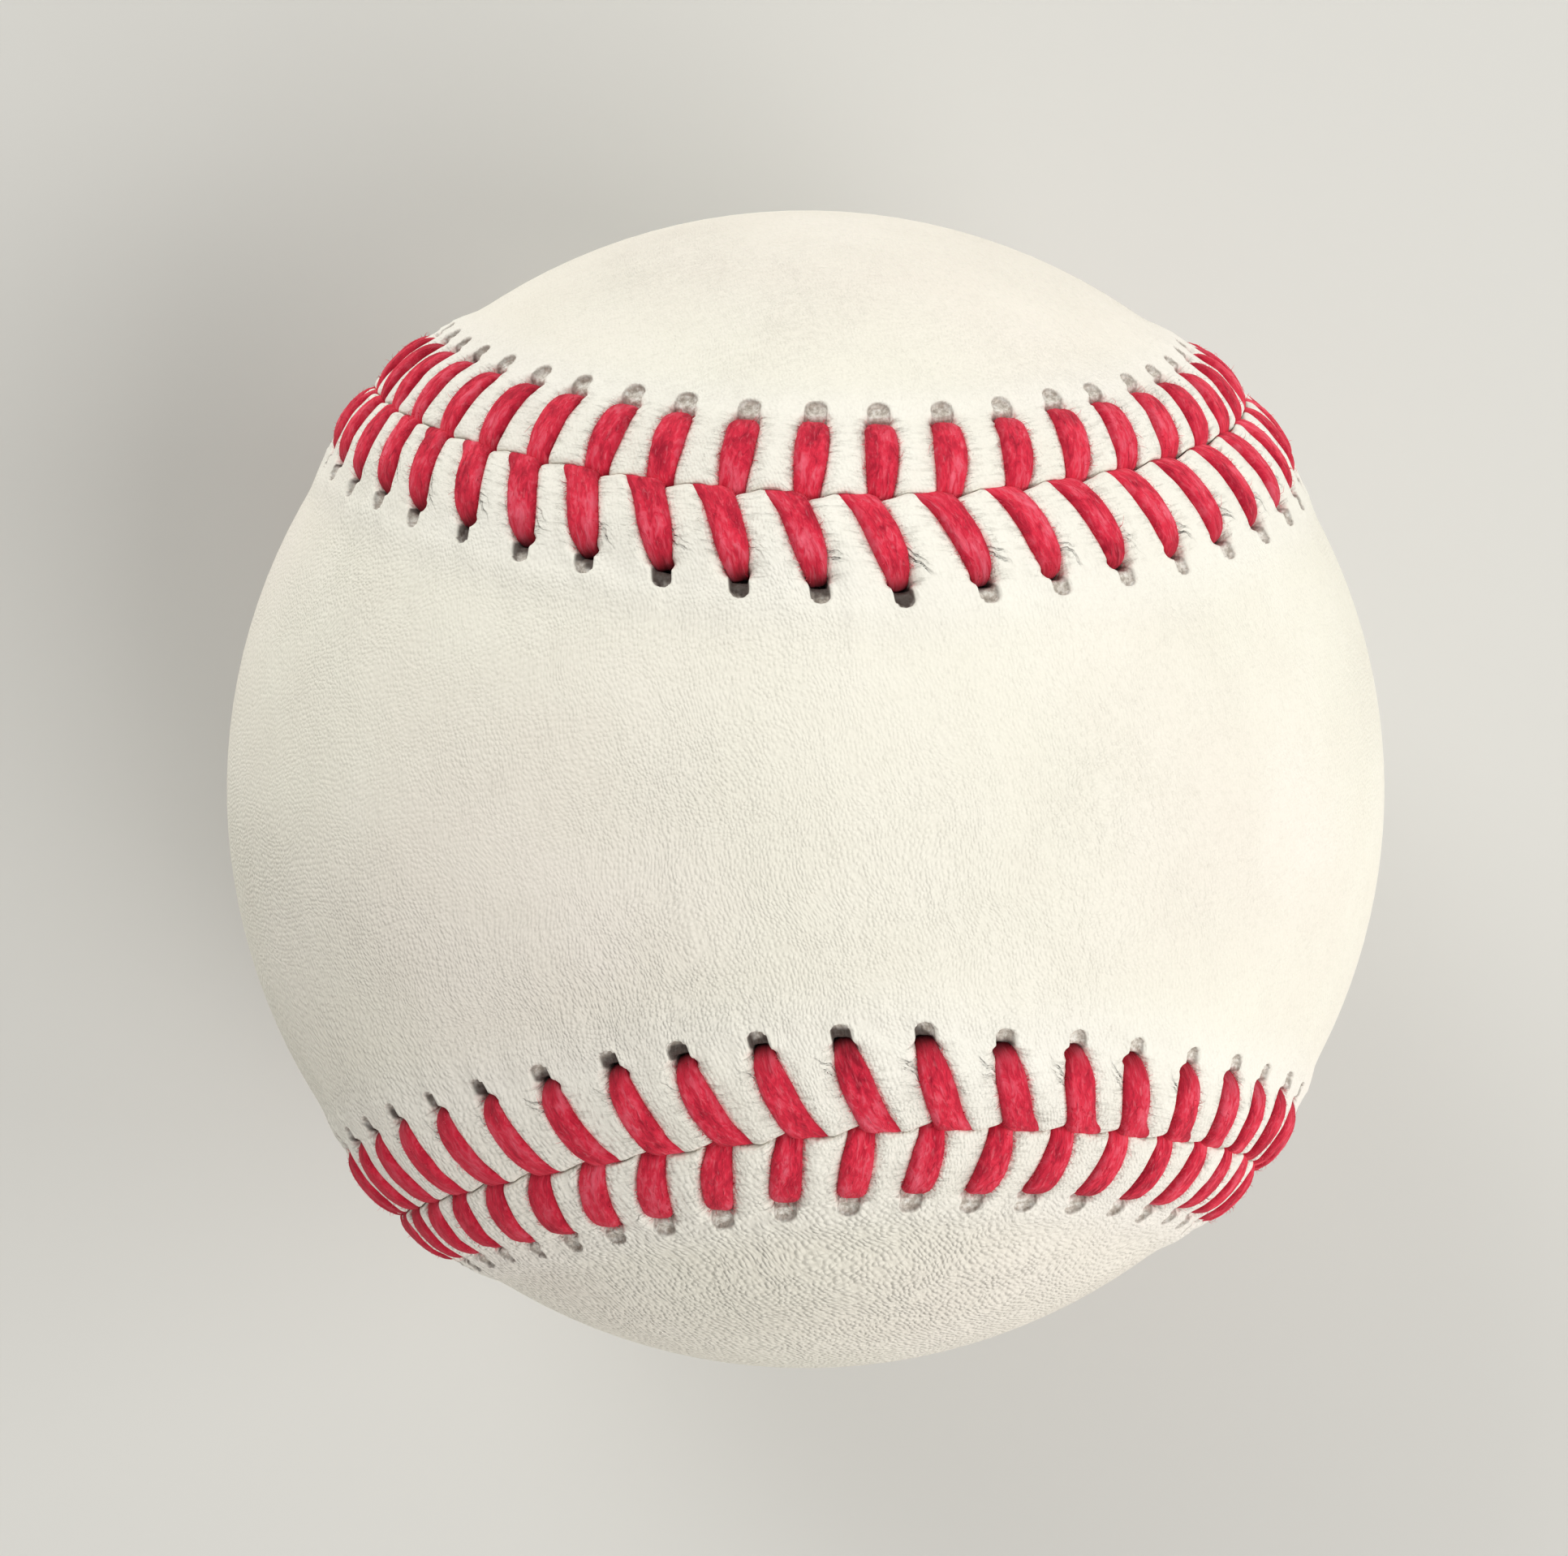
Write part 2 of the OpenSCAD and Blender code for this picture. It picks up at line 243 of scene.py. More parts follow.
def new_finish(owner):
    """The function that adds a node to a new material of this name, or to the world."""
    if isinstance(owner, str):
        owner = bpy.data.materials.new(owner)
    owner.use_nodes = True
    tree = owner.node_tree
    tree.nodes.clear()

    def add(kind, sockets, output=0, stops=(), **settings):
        """One node with its settings, a ramp's stops, and links or constants by socket."""
        node = tree.nodes.new("ShaderNode" + kind)
        for key, value in settings.items():
            setattr(node, key, value)
        for k, (place, code) in enumerate(stops):
            elements = node.color_ramp.elements
            element = elements[k] if k < 2 else elements.new(place)
            element.position, element.color = place, linear(code)
        for key, value in sockets.items():
            if isinstance(value, bpy.types.NodeSocket):
                tree.links.new(value, node.inputs[key])
            else:
                node.inputs[key].default_value = value
        return node.outputs[output] if node.outputs else owner

    return add


def cowhide_finish():
    """Alum-tanned cowhide: matt, off-white, clouded, with a fine pebble grain that
    is coarser towards -Y, soft wrinkles, and dye and wax rubbed off the thread.

    Its attributes are distances in millimetres: edge from a hole's rim, beside
    from a leg's edge, past beyond a hole's far end, seam from the seam, and lee
    from the middle of the next leg. Shade and pulled are shares from 0 to 1.
    """
    add = new_finish("alum_tanned_cowhide")
    edge, beside, past, seam, shade, lee, pulled = (add("Attribute", {}, 2, attribute_name=k) for k in (
        "edge", "beside", "past", "seam", "shade", "lee", "pulled"))
    spot = add("TexCoord", {}, 3)
    x, y = (add("SeparateXYZ", {0: spot}, k) for k in (0, 1))
    corner = add("Math", {0: x, 1: 0.3, 2: y}, operation="MULTIPLY_ADD")
    # clouds 10 mm across; the hide is whiter where the stitches stretch it
    cloud = add("TexNoise", {"Vector": spot, "Scale": 95.0, "Detail": 4.0, "Roughness": 0.6})
    tone = add("ValToRGB", {0: cloud}, stops=((0.3, "#f4efe4"), (0.7, "#faf6ec"), (0.5, "#f7f3e8")))
    clean = add("ValToRGB", {0: cloud}, stops=((0.3, "#f6f2e9"), (0.7, "#fbf8f1")))
    hue = add("TexNoise", {"Vector": spot, "Scale": 42.0, "Detail": 1.0})
    hue = add("MapRange", {0: hue, 1: 0.38, 2: 0.62})
    warm = add("Mix", {0: hue, 6: linear("#fffefa"), 7: linear("#fffbf9")}, 2, data_type="RGBA")
    cloudy_past = add("MapRange", {0: cloud, 1: 0.3, 2: 0.7, 3: -0.8, 4: 0.8})
    cloudy_past = add("Math", {0: past, 1: cloudy_past}, operation="ADD")
    stretched = add("MapRange", {0: cloudy_past, 1: 3.0, 2: -0.8}, interpolation_type="SMOOTHSTEP")
    taut = add("MapRange", {0: cloudy_past, 1: 1.0, 2: -1.4, 3: 1.0, 4: 0.7},
               interpolation_type="SMOOTHSTEP")
    tone = add("Mix", {0: stretched, 6: tone, 7: clean}, 2, data_type="RGBA")
    tone = add("Mix", {0: 1.0, 6: tone, 7: warm}, 2, data_type="RGBA", blend_type="MULTIPLY")
    # domed pebbles in rows that bend a little, 0.26 mm long, and 0.44 mm towards -Y
    drift = add("TexNoise", {"Vector": spot, "Scale": 160.0, "Detail": 2.0}, 1)
    grain = add("Mix", {0: 0.0022, 6: spot, 7: drift}, 2, data_type="RGBA", blend_type="ADD")
    fine, cells = (add("TexVoronoi", {"Scale": 1.0, "Randomness": 0.6, "Vector": add("Mapping", {
        "Vector": grain, "Rotation": turn, "Scale": size}, vector_type="TEXTURE")}) for turn, size in (
        ((0.1, 0.1, -1.3), (0.00026, 0.0002, 0.00022)), ((0.38, 0.47, -0.85), (0.00044, 0.00032, 0.00036))))
    lower = add("MapRange", {0: corner, 1: -0.014, 2: -0.022})
    cells = add("Mix", {0: lower, 2: fine, 3: cells}, data_type="FLOAT")
    creek = add("MapRange", {0: cells, 1: 0.1, 2: 0.75}, interpolation_type="SMOOTHSTEP")
    patch = add("TexNoise", {"Vector": spot, "Scale": 60.0, "Detail": 2.0})
    coarse = add("Math", {0: add("MapRange", {0: corner, 1: -0.008, 2: -0.03}), 1: patch}, operation="ADD")
    coarse = add("MapRange", {0: coarse, 1: 0.4, 2: 1.4, 3: 0.25, 4: 1.4})
    coarse = add("Math", {0: coarse, 1: taut}, operation="MULTIPLY")
    creek = add("Math", {0: creek, 1: coarse}, operation="MULTIPLY")
    # painted shade in the grain's valleys, stronger where the grain is coarse
    valley_shade = add("Math", {0: creek, 1: 0.08}, operation="MULTIPLY")
    colour = add("Mix", {0: valley_shade, 6: tone, 7: linear("#a9a292")}, 2, data_type="RGBA")
    # specks of 0.3 mm
    speck = add("TexNoise", {"Vector": spot, "Scale": 3000.0, "Detail": 3.0, "Roughness": 0.7})
    dust = add("MapRange", {0: speck, 1: 0.52, 2: 0.72, 3: 0.0, 4: 0.16})
    colour = add("Mix", {0: dust, 6: colour, 7: linear("#c4beb0")}, 2, data_type="RGBA")
    # dark ticks of 0.15 mm where the thread has rubbed, within 0.9 mm of a leg
    ticks = add("TexNoise", {"Vector": spot, "Scale": 5200.0, "Detail": 2.0, "Distortion": 1.5})
    ticks = add("MapRange", {0: ticks, 1: 0.62, 2: 0.68, 3: 0.0, 4: 0.6})
    ticks = add("Math", {0: ticks, 1: add("MapRange", {0: beside, 1: 0.9, 2: 0.0})}, operation="MULTIPLY")
    colour = add("Mix", {0: ticks, 6: colour, 7: linear("#8c7f70")}, 2, data_type="RGBA")
    # pink beside the thread, within 0.3 mm
    rub = add("TexNoise", {"Vector": spot, "Scale": 900.0, "Detail": 2.0})
    blush = add("MapRange", {0: beside, 1: 0.3, 2: 0.0, 3: 0.0, 4: 0.75}, interpolation_type="SMOOTHSTEP")
    blush = add("Math", {0: blush, 1: add("MapRange", {0: rub, 1: 0.3, 2: 0.7})}, operation="MULTIPLY")
    colour = add("Mix", {0: blush, 6: colour, 7: linear("#eea6a4")}, 2, data_type="RGBA")
    # the cut edge in the seam
    cut = add("MapRange", {0: seam, 1: 0.06, 2: 0.0, 3: 0.0, 4: 0.5}, interpolation_type="SMOOTHSTEP")
    colour = add("Mix", {0: cut, 6: colour, 7: linear("#7d7266")}, 2, data_type="RGBA")
    # the awl hole: grey fibres, with painted shade next to the thread in the neck-side holes, less towards +X
    # where light falls into them
    wall = add("ValToRGB", {0: speck}, stops=((0.38, "#b4aa9e"), (0.64, "#f5f1e9"), (0.5, "#d8d0c5")))
    ragged = add("MapRange", {0: rub, 1: 0.3, 2: 0.7, 3: -0.45, 4: 0.45})
    clear = add("MapRange", {0: shade, 3: 1.7, 4: 0.0})
    hole_shade = add("Math", {0: add("Math", {0: past, 1: ragged}, operation="ADD"), 1: clear}, operation="ADD")
    hole_shade = add("MapRange", {0: hole_shade, 1: 0.4, 2: -0.25, 4: 0.9}, interpolation_type="SMOOTHSTEP")
    stain = add("MapRange", {0: past, 1: -0.6, 2: -1.3, 3: 0.0, 4: 0.4})
    wall = add("Mix", {0: stain, 6: wall, 7: linear("#c98f8c")}, 2, data_type="RGBA")
    wall = add("Mix", {0: hole_shade, 6: wall, 7: linear("#3f302b")}, 2, data_type="RGBA")
    rim = add("MapRange", {0: edge, 1: -0.12, 2: -0.02, 3: 0.0, 4: 0.45}, interpolation_type="SMOOTHSTEP")
    wall = add("Mix", {0: rim, 6: wall, 7: linear("#77726a")}, 2, data_type="RGBA")
    inside = add("MapRange", {0: edge, 1: 0.04, 2: -0.05}, interpolation_type="SMOOTHSTEP")
    colour = add("Mix", {0: inside, 6: colour, 7: wall}, 2, data_type="RGBA")
    # soft folds 1.1 mm apart
    folds = add("Mapping", {"Vector": spot, "Rotation": (0.3, 0.2, -1.3), "Scale": (0.004, 0.0011, 0.0025)},
                vector_type="TEXTURE")
    folds = add("TexNoise", {"Vector": folds, "Scale": 1.0, "Detail": 4.0, "Roughness": 0.6})
    # creases 1 mm long that run from a leg's edge towards its hole, on the side it leans to
    ripple = add("TexNoise", {"Vector": spot, "Scale": 700.0, "Detail": 3.0})
    ripple = add("MapRange", {0: ripple, 1: 0.3, 2: 0.7, 3: 2.75, 4: 3.55})
    across = add("Math", {0: past, 1: ripple}, operation="ADD")
    across = add("Math", {0: across, 1: lee}, operation="SUBTRACT")
    first = add("MapRange", {0: add("Math", {0: across}, operation="ABSOLUTE"), 1: 0.16, 2: 0.0},
                interpolation_type="SMOOTHSTEP")
    second = add("Math", {0: add("Math", {0: across, 1: 0.5}, operation="ADD")}, operation="ABSOLUTE")
    second = add("MapRange", {0: second, 1: 0.12, 2: 0.0, 4: 0.6}, interpolation_type="SMOOTHSTEP")
    length = add("MapRange", {0: lee, 1: 1.9, 2: 0.9}, interpolation_type="SMOOTHSTEP")
    length = add("Math", {0: length, 1: pulled}, operation="MULTIPLY")
    crease = add("Math", {0: first, 1: second}, operation="MAXIMUM")
    crease = add("Math", {0: crease, 1: length}, operation="MULTIPLY")
    # wrinkles 0.2 mm apart that run off the legs squarely, within 1.2 mm
    wrinkle = add("CombineXYZ", {0: seam, 1: lee, 2: x})
    wrinkle = add("Mapping", {"Vector": wrinkle, "Scale": (4.5, 0.9, 400.0)})
    wrinkle = add("TexNoise", {
        "Vector": wrinkle, "Scale": 1.0, "Detail": 3.0, "Roughness": 0.6, "Distortion": 0.6})
    wrinkle = add("MapRange", {0: wrinkle, 1: 0.5, 2: 0.68})
    close = add("MapRange", {0: beside, 1: 1.2, 2: 0.1})
    wrinkle = add("Math", {0: wrinkle, 1: close}, operation="MULTIPLY")
    # painted shade along the creases and wrinkles, over their bumps
    painted_shade = add("Math", {0: crease, 1: wrinkle}, operation="MAXIMUM")
    painted_shade = add("Math", {0: painted_shade, 1: 0.42}, operation="MULTIPLY")
    colour = add("Mix", {0: painted_shade, 6: colour, 7: linear("#8f887b")}, 2, data_type="RGBA")
    normal = add("Bump", {"Height": creek, "Strength": 1.0, "Distance": -0.0001})
    normal = add("Bump", {"Height": speck, "Strength": 0.5, "Distance": 0.00004, "Normal": normal})
    normal = add("Bump", {"Height": folds, "Strength": 0.9, "Distance": 0.00012, "Normal": normal})
    normal = add("Bump", {"Height": crease, "Strength": 1.0, "Distance": -0.00024, "Normal": normal})
    normal = add("Bump", {"Height": wrinkle, "Strength": 1.0, "Distance": -0.00005, "Normal": normal})
    return add("OutputMaterial", {0: add("BsdfPrincipled", {
        "Base Color": colour, "Roughness": 0.6, "Specular IOR Level": 0.3, "Normal": normal,
        "Sheen Weight": 0.06, "Sheen Roughness": 0.5})})


def thread_finish(name, deep, base, pale):
    """Waxed cotton thread, crimson and matt: short fibres along the leg, 0.15 mm wide,
    paler in pink flecks where they stand up, partly painted highlight, and darker between, over slow patches
    of dye."""
    add = new_finish(name)
    along, across, end, leg = (add("Attribute", {}, 2, attribute_name=k) for k in (
        "along", "across", "end", "leg"))
    place = add("CombineXYZ", {0: along, 1: across, 2: leg})
    strokes = add("Mapping", {"Vector": place, "Rotation": (0, 0, 0.3), "Scale": (1.5, 3.4, 3.0)})
    strokes = add("TexNoise", {
        "Vector": strokes, "Scale": 1.0, "Detail": 4.0, "Roughness": 0.6, "Distortion": 1.0})
    patches = add("Mapping", {"Vector": place, "Scale": (0.5, 0.9, 5.0)})
    patches = add("TexNoise", {"Vector": patches, "Scale": 1.0, "Detail": 3.0, "Roughness": 0.55})
    mottle = add("Mix", {0: 0.55, 2: strokes, 3: patches}, data_type="FLOAT")
    colour = add("ValToRGB", {0: mottle}, stops=((0.36, deep), (0.66, pale), (0.51, base)))
    # pale pink flecks: fibres that stand up, partly painted highlight
    flecks = add("Mapping", {"Vector": place, "Rotation": (0, 0, -0.35), "Scale": (2.4, 6.0, 7.0)})
    flecks = add("TexNoise", {"Vector": flecks, "Scale": 1.0, "Detail": 2.0, "Distortion": 0.5})
    pale_fibre_and_highlight = add("MapRange", {0: flecks, 1: 0.56, 2: 0.76, 3: 0.0, 4: 0.35})
    colour = add("Mix", {0: pale_fibre_and_highlight, 6: colour, 7: linear("#f98a95")}, 2, data_type="RGBA")
    # painted shade, deeper along a leg's rounded edges, and towards -X -Y where less light falls
    spot = add("TexCoord", {}, 3)
    x, y = (add("SeparateXYZ", {0: spot}, k) for k in (0, 1))
    corner = add("Math", {0: x, 1: y}, operation="ADD")
    corner = add("MapRange", {0: corner, 1: -0.024, 2: -0.05, 4: 0.6})
    flank = add("MapRange", {0: add("Math", {0: across}, operation="ABSOLUTE"), 1: 0.5, 2: 0.8, 4: 0.5})
    side_shade = add("Math", {0: corner, 1: flank}, operation="MAXIMUM")
    colour = add("Mix", {0: side_shade, 6: colour, 7: linear(deep)}, 2, data_type="RGBA")
    # painted shade where the leg dives in its hole, at the seam and at its beak's tip
    colour = add("Mix", {0: end, 6: colour, 7: linear("#4a1a1a")}, 2, data_type="RGBA")
    normal = add("Bump", {"Height": strokes, "Strength": 1.0, "Distance": 0.00014})
    normal = add("Bump", {"Height": flecks, "Strength": 0.8, "Distance": 0.00007, "Normal": normal})
    return add("OutputMaterial", {0: add("BsdfPrincipled", {
        "Base Color": colour, "Roughness": 0.85, "Specular IOR Level": 0.15, "Normal": normal,
        "Sheen Weight": 0.2, "Sheen Roughness": 0.6, "Sheen Tint": linear("#ff8590")})})


def fuzz_finish():
    """Loose ends of the thread's fibres: the same dye, paler where they are thin."""
    add = new_finish("thread_fuzz")
    shade = add("TexNoise", {"Vector": add("TexCoord", {}, 3), "Scale": 600.0})
    colour = add("ValToRGB", {0: shade}, stops=((0.35, "#c01833"), (0.7, "#f3707f"), (0.5, "#e23550")))
    return add("OutputMaterial", {0: add("BsdfPrincipled", {
        "Base Color": colour, "Roughness": 0.9, "Specular IOR Level": 0.1})})


def cork_finish():
    """Ground cork bound with rubber: tan grains of 1.4 mm with dark bits between."""
    add = new_finish("ground_cork")
    spot = add("TexCoord", {}, 3)
    cells = add("TexVoronoi", {"Vector": spot, "Scale": 700.0})
    colour = add("ValToRGB", {0: cells}, stops=((0.1, "#c79a68"), (0.8, "#4e3422"), (0.45, "#9c6f43")))
    fine = add("TexNoise", {"Vector": spot, "Scale": 1400.0, "Detail": 3.0})
    bits = add("MapRange", {0: fine, 1: 0.5, 2: 0.7, 3: 0.0, 4: 0.5})
    colour = add("Mix", {0: bits, 6: colour, 7: linear("#3a2a20")}, 2, data_type="RGBA")
    normal = add("Bump", {"Height": cells, "Strength": 0.5, "Distance": 0.0002})
    return add("OutputMaterial", {0: add("BsdfPrincipled", {
        "Base Color": colour, "Roughness": 0.85, "Normal": normal})})


def rubber_finish(name, base, pale):
    """Moulded rubber: matt, clouded by its bloom, with a slightly rough skin."""
    add = new_finish(name)
    spot = add("TexCoord", {}, 3)
    cloud = add("TexNoise", {"Vector": spot, "Scale": 260.0, "Detail": 4.0, "Roughness": 0.6})
    colour = add("ValToRGB", {0: cloud}, stops=((0.35, base), (0.7, pale)))
    normal = add("Bump", {"Height": cloud, "Strength": 0.35, "Distance": 0.00015})
    return add("OutputMaterial", {0: add("BsdfPrincipled", {
        "Base Color": colour, "Roughness": 0.62, "Normal": normal})})


def yarn_finish(name, base, deep, width):
    """Wound yarn: bands of parallel turns, width in metres, laid over each other in four directions."""
    add = new_finish(name)
    spot = add("TexCoord", {}, 3)
    turns = 0.0
    for k, turn in enumerate(((0.3, 0.2, 0.1), (1.2, 0.7, 0.4), (2.1, 1.9, 1.1), (0.8, 2.6, 2.0))):
        place = add("Mapping", {"Vector": spot, "Rotation": turn})
        wave = add("TexWave", {"Vector": place, "Scale": 0.31 / width, "Distortion": 1.5, "Detail": 2.0,
                               "Detail Scale": 2.0}, 1)
        patch = add("TexNoise", {"Vector": place, "Scale": 60.0 + 15.0 * k})
        patch = add("MapRange", {0: patch, 1: 0.47, 2: 0.53})
        turns = add("Mix", {0: patch, 2: turns, 3: wave}, data_type="FLOAT")
    colour = add("Mix", {0: add("MapRange", {0: turns, 1: 0.1, 2: 0.7}), 6: linear(deep), 7: linear(base)}, 2,
                 data_type="RGBA")
    fibre = add("TexNoise", {"Vector": spot, "Scale": 2500.0, "Detail": 3.0})
    fibre = add("MapRange", {0: fibre, 1: 0.5, 2: 0.8, 3: 0.0, 4: 0.3})
    colour = add("Mix", {0: fibre, 6: colour, 7: linear(deep)}, 2, data_type="RGBA")
    normal = add("Bump", {"Height": turns, "Strength": 0.9, "Distance": 0.0004})
    return add("OutputMaterial", {0: add("BsdfPrincipled", {
        "Base Color": colour, "Roughness": 0.9, "Sheen Weight": 0.3, "Normal": normal})})


COWHIDE = cowhide_finish()
THREAD = (thread_finish("red_cotton_first", "#a6142e", "#e62f48", "#f46a7e"),
          thread_finish("red_cotton_second", "#a0112b", "#e02b45", "#f1667a"))
FUZZ = fuzz_finish()
CARRIED = {
    "cork_centre": cork_finish(),
    "lower_black_shell": rubber_finish("black_rubber_lower", "#1b1a1a", "#2c2a29"),
    "upper_black_shell": rubber_finish("black_rubber_upper", "#201e1e", "#312e2d"),
    "gasket_ring": rubber_finish("red_rubber_gasket", "#8e1f19", "#a8362c"),
    "red_rubber_shell": rubber_finish("red_rubber", "#84201a", "#a03a2f"),
    "first_winding": yarn_finish("grey_four_ply_wool", "#9a978f", "#55524c", 0.0019),
    "second_winding": yarn_finish("white_three_ply_wool", "#e9e3d3", "#a39b88", 0.0015),
    "third_winding": yarn_finish("grey_three_ply_wool", "#a19d95", "#5b5750", 0.0015),
    "finishing_winding": yarn_finish("white_cotton_thread", "#f0ebdd", "#b5ad9a", 0.0007),
}
for node_name, material in CARRIED.items():
    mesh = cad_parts[node_name].data
    mesh.materials.clear()
    mesh.materials.append(material)

# The cover panels
# columns of points between two legs, closer beside them, and the coarser ones past the holes
PART = [0, 0.05, 0.1, 0.14, 0.17, 0.205, 0.24, 0.29, 0.36, 0.43]
SHARES = np.array(PART + [0.5] + [1 - q for q in PART[:0:-1]])
COLS = len(SHARES) * STITCHES
PER_STITCH = 5
COARSE = PER_STITCH * STITCHES
# rows, as shares of a leg's reach: up to the holes and along them; then in millimetres past them
ROWS_IN = [0.005, 0.017, 0.034, 0.055, 0.08, 0.115, 0.16, 0.21, 0.27, 0.34, 0.415, 0.49, 0.56, 0.62, 0.67]
ROWS_HOLE = [0.71, 0.745, 0.78, 0.815, 0.845, 0.872, 0.896, 0.916, 0.934, 0.95, 0.964, 0.977, 0.989, 1.0]
ROWS_OUT = [0.07, 0.2, 0.4, 0.7, 1.1, 1.7, 2.5]
# rows up the cut edge, as shares of its height
ROWS_WALL = (0, 0.38, 0.76, 1)
RUNGS_OUT, RUNGS_IN = 24, 6
# each pillow's plumpness, each hole's painted shade, which also deepens its pit, and how far each hole's
# leather is pulled
PLUMP = {side: rng.uniform(0.88, 1.1, STITCHES) for side in (1, -1)}
HOLE_SHADE = {side: rng.uniform(0.8, 1.0, STITCHES) for side in (1, -1)}
PULLED = {side: rng.uniform(0.1, 1.0, STITCHES) for side in (1, -1)}


def seam_wander(u, side):
    """Sideways zigzag of the cut edges, shared by both panels, and how far they gape.

    Each neck-side leg pulls the edges towards the other panel at its beak.
    """
    s = leg_s(leg_facts(u, side), 0 * u)
    turn = turn_at(s)
    where = seam_dir(turn) * BALL_R
    station = s / PITCH - STATION - DRIFT * np.cos(turn / 2) - FOOT_LEAD / PITCH * np.abs(np.cos(turn))
    zigzag = -ZIGZAG * np.cos(turn) * np.sin(2 * math.pi * station)
    wander = zigzag + 0.06 * lattice_noise(where, 1.1, 7) + 0.03 * lattice_noise(where, 0.4, 8)
    gape = SEAM_GAP / 2 * (1 + 0.8 * lattice_noise(where, 0.9, 9))
    return side * wander, gape


def beside_leg(u, v, side, step):
    """Distance, across the leg before or after, from the leg to points (u, v)."""
    here = on_ball(leg_s(leg_facts(u, side), v), v, side)
    leg, _, across = leg_axes(np.floor(u) + step, v, side)
    return np.abs(np.sum((here - leg) * across, -1)) * BALL_R


def relief(u, v, side):
    """Height of the leather over the plain ball, and the distances its finish reads.

    Between two legs the leather is a pillow: it stands at half its height at the
    cut edge, rounds over to its crown and sinks to nothing past the holes. Beside
    a leg it rounds down to the groove that the leg lies in.
    """
    facts = leg_facts(u, side)
    x_before, x_after = beside_leg(u, v, side, 0), beside_leg(u, v, side, 1)
    x = np.minimum(x_before, x_after)
    nearest = np.where(x_before < x_after, np.floor(u), np.floor(u) + 1) % STITCHES
    leg = leg_facts(nearest, side)
    share = u - np.floor(u)
    number = np.floor(u).astype(int)
    plump = PLUMP[side][number % STITCHES]
    edge = np.clip(v / EDGE_ROUND, 0, 1)
    crown = 0.52 + 0.32 * (1 - (1 - edge) ** 2.4) ** 0.5 + 0.16 * smooth(0, 1.9, v)
    crown *= 1 - 0.62 * smooth(0.42, 1.02, v / facts.reach)
    crown *= 1 - smooth(0.0, PILLOW_END, v - facts.reach)
    crown *= WELT * plump * (1 + 0.08 * np.sin(2 * math.pi * share + number))
    groove = leg_width(v, leg) / 2 - 0.05
    shoulder = np.clip((x - groove) / SHOULDER, 0, 1)
    rise = (1 - (1 - shoulder) ** 2.2) ** 0.6
    under = np.clip(arch_height(v, leg) - 0.1, -0.8, 9)
    rise = 1 - (1 - rise) * (1 - smooth(leg.reach - 1.45, leg.reach - 0.75, v))
    height = np.minimum(under, crown) * (1 - rise) + crown * rise
    # the awl hole, a capsule that is deeper where the leg pulls hardest
    radius = hole_radius(leg)
    back = np.maximum(np.abs(v - (leg.reach + 0.08 - HOLE_L / 2)) - (HOLE_L / 2 - radius), 0)
    rim = np.hypot(x, back) - radius
    pit = smooth(0.03, -0.15, rim)
    hole = on_ball(leg_s(leg, leg.reach), leg.reach, side)
    # how much painted shade a hole gets: on the neck side, fading towards +X; it also deepens the pit
    shade = leg.neck * HOLE_SHADE[side][nearest.astype(int)] * (1 - smooth(-0.05, 0.42, hole[..., 0]))
    lip = LIP * np.exp(-(np.maximum(rim, 0) / LIP_W) ** 2) * (1 - pit)
    height = height - (PIT + PIT_PULLED * shade) * pit + lip
    return height, {
        "edge": np.clip(rim, -0.6, 0.6),
        "beside": np.where(v > leg.reach - 1.0, 1.5, x - groove),
        "past": np.clip(v - leg.reach, -4, BARE_FROM),
        "seam": v,
        "shade": shade,
        "lee": x_after,
        "pulled": PULLED[side][(number + 1) % STITCHES] * (0.15 + 0.85 * leg.neck),
    }


def join_rows(a, b, n):
    """Quads between two closed rows of n points."""
    j = np.arange(n)
    k = (j + 1) % n
    return np.stack([a + j, a + k, b + k, b + j], 1)


def thin_rows(a, b, n, m):
    """Triangles from a closed row of n points to one of m, where m divides n."""
    r = n // m
    j = np.arange(n)
    corner = j // r + (j % r >= r // 2)
    fan = np.stack([a + j, a + (j + 1) % n, b + corner % m], 1)
    c = np.arange(m)
    closing = np.stack([a + c * r + r // 2, b + (c + 1) % m, b + c], 1)
    return np.concatenate([fan, closing])


def rung_middle(points, ring, m, tip, rungs, radius, base):
    """The middle of a panel: arcs on a sphere between facing points of its closed row."""
    k = np.arange(1, m // 2)
    left, right = ring + (tip + k) % m, ring + (tip - k) % m
    a, b = unit(points[left])[:, None], unit(points[right])[:, None]
    angle = np.arccos(np.clip(np.sum(a * b, -1, keepdims=True), -1, 1))
    w = np.linspace(0, 1, rungs + 1)[None, 1:-1, None]
    arcs = (np.sin((1 - w) * angle) * a + np.sin(w * angle) * b) / np.sin(angle)
    inner = base + np.arange(len(k) * (rungs - 1)).reshape(len(k), -1)
    rows = np.concatenate([left[:, None], inner, right[:, None]], 1)
    quads = np.stack([rows[:-1, :-1], rows[1:, :-1], rows[1:, 1:], rows[:-1, 1:]], -1).reshape(-1, 4)
    near, far = np.full(rungs, ring + tip % m), np.full(rungs, ring + (tip + m // 2) % m)
    tris = np.concatenate([np.stack([near, rows[0, :-1], rows[0, 1:]], 1),
                           np.stack([rows[-1, :-1], far, rows[-1, 1:]], 1)])
    return arcs.reshape(-1, 3) * radius, quads, tris


